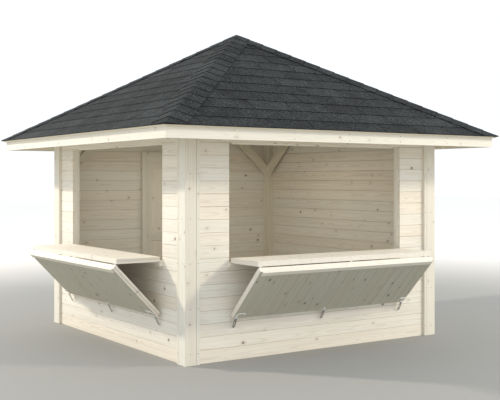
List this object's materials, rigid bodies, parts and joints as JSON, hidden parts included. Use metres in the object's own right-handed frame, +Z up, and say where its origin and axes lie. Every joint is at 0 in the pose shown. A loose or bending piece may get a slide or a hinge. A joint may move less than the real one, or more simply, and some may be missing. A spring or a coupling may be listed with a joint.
{
  "type": "market stall",
  "caption": "Square wooden market stall with a hipped shingle roof, folding serving counters on two walls and a framed back door.",
  "frame": {"origin": "on the ground at the middle of the plan", "axes": "+Z up, the front wall with a serving opening faces -Y, the side wall with the other opening faces -X, the door faces +Y"},
  "size_m": [3.9056, 3.9056, 3.1826],
  "materials": {
    "wall_boards": "satin",
    "trim_wood": "satin",
    "frame_timber": "matte",
    "leaf_boards": "satin",
    "roof_boards": "matte",
    "door_wood": "satin",
    "shingle": "matte",
    "zinc_iron": "satin"
  },
  "bodies": {
    "hut": {"front_wall_lower": "wall_boards", "front_wall_left_pier": "wall_boards", "front_wall_right_pier": "wall_boards", "front_wall_head": "wall_boards", "side_wall_lower": "wall_boards", "side_wall_left_pier": "wall_boards", "side_wall_right_pier": "wall_boards", "side_wall_head": "wall_boards", "right_wall": "wall_boards", "back_wall_left": "wall_boards", "back_wall_right": "wall_boards", "back_wall_head": "wall_boards", "corner_trims": "trim_wood", "counter_ledges": "trim_wood", "opening_stops": "trim_wood", "end_fascias": "trim_wood", "side_fascias": "trim_wood", "corner_posts": "frame_timber", "opening_studs": "frame_timber", "opening_rails": "frame_timber", "end_plates": "frame_timber", "side_plates": "frame_timber", "knee_braces": "frame_timber", "rafters": "frame_timber", "hip_rafters": "frame_timber", "apex_block": "frame_timber", "front_roof_boards": "roof_boards", "left_roof_boards": "roof_boards", "back_roof_boards": "roof_boards", "right_roof_boards": "roof_boards", "front_shingles": "shingle", "left_shingles": "shingle", "back_shingles": "shingle", "right_shingles": "shingle", "hip_caps": "shingle", "door_jambs": "door_wood", "door_head": "door_wood", "door_threshold": "door_wood", "ledge_hinges": "zinc_iron", "door_frame_hinges": "zinc_iron"},
    "front_counter": {"front_counter": "leaf_boards", "front_counter_hinges": "zinc_iron"},
    "front_flap": {"front_flap": "leaf_boards", "front_flap_plates": "zinc_iron", "front_handles": "zinc_iron"},
    "front_hasps": {"front_hasps": "zinc_iron"},
    "side_counter": {"side_counter": "leaf_boards", "side_counter_hinges": "zinc_iron"},
    "side_flap": {"side_flap": "leaf_boards", "side_flap_plates": "zinc_iron", "side_handles": "zinc_iron"},
    "side_hasps": {"side_hasps": "zinc_iron"},
    "door": {"door_leaf": "door_wood", "door_hinges": "zinc_iron", "door_levers": "zinc_iron"}
  },
  "joints": [
    {"name": "front_counter_hinge", "type": "hinge", "parent": "hut", "child": "front_counter", "pos_m": [0, -1.477, 0.8645], "axis": [-1, 0, 0], "range_deg": [0, 90]},
    {"name": "front_flap_hinge", "type": "hinge", "parent": "front_counter", "child": "front_flap", "pos_m": [0, -1.915, 0.8635], "axis": [-1, 0, 0], "range_deg": [0, 134]},
    {"name": "front_hasp_pins", "type": "hinge", "parent": "front_flap", "child": "front_hasps", "pos_m": [0, -1.5188, 0.37587], "axis": [-1, 0, 0], "range_deg": [0, 75]},
    {"name": "side_counter_hinge", "type": "hinge", "parent": "hut", "child": "side_counter", "pos_m": [-1.477, 0, 0.8645], "axis": [0, 1, 0], "range_deg": [0, 90]},
    {"name": "side_flap_hinge", "type": "hinge", "parent": "side_counter", "child": "side_flap", "pos_m": [-1.915, 0, 0.8635], "axis": [0, 1, 0], "range_deg": [0, 134]},
    {"name": "side_hasp_pins", "type": "hinge", "parent": "side_flap", "child": "side_hasps", "pos_m": [-1.5188, 0, 0.37587], "axis": [0, 1, 0], "range_deg": [0, 75]},
    {"name": "door_hinge", "type": "hinge", "parent": "hut", "child": "door", "pos_m": [-0.3835, 1.468, 0], "axis": [0, 0, 1], "range_deg": [0, 110]}
  ]
}
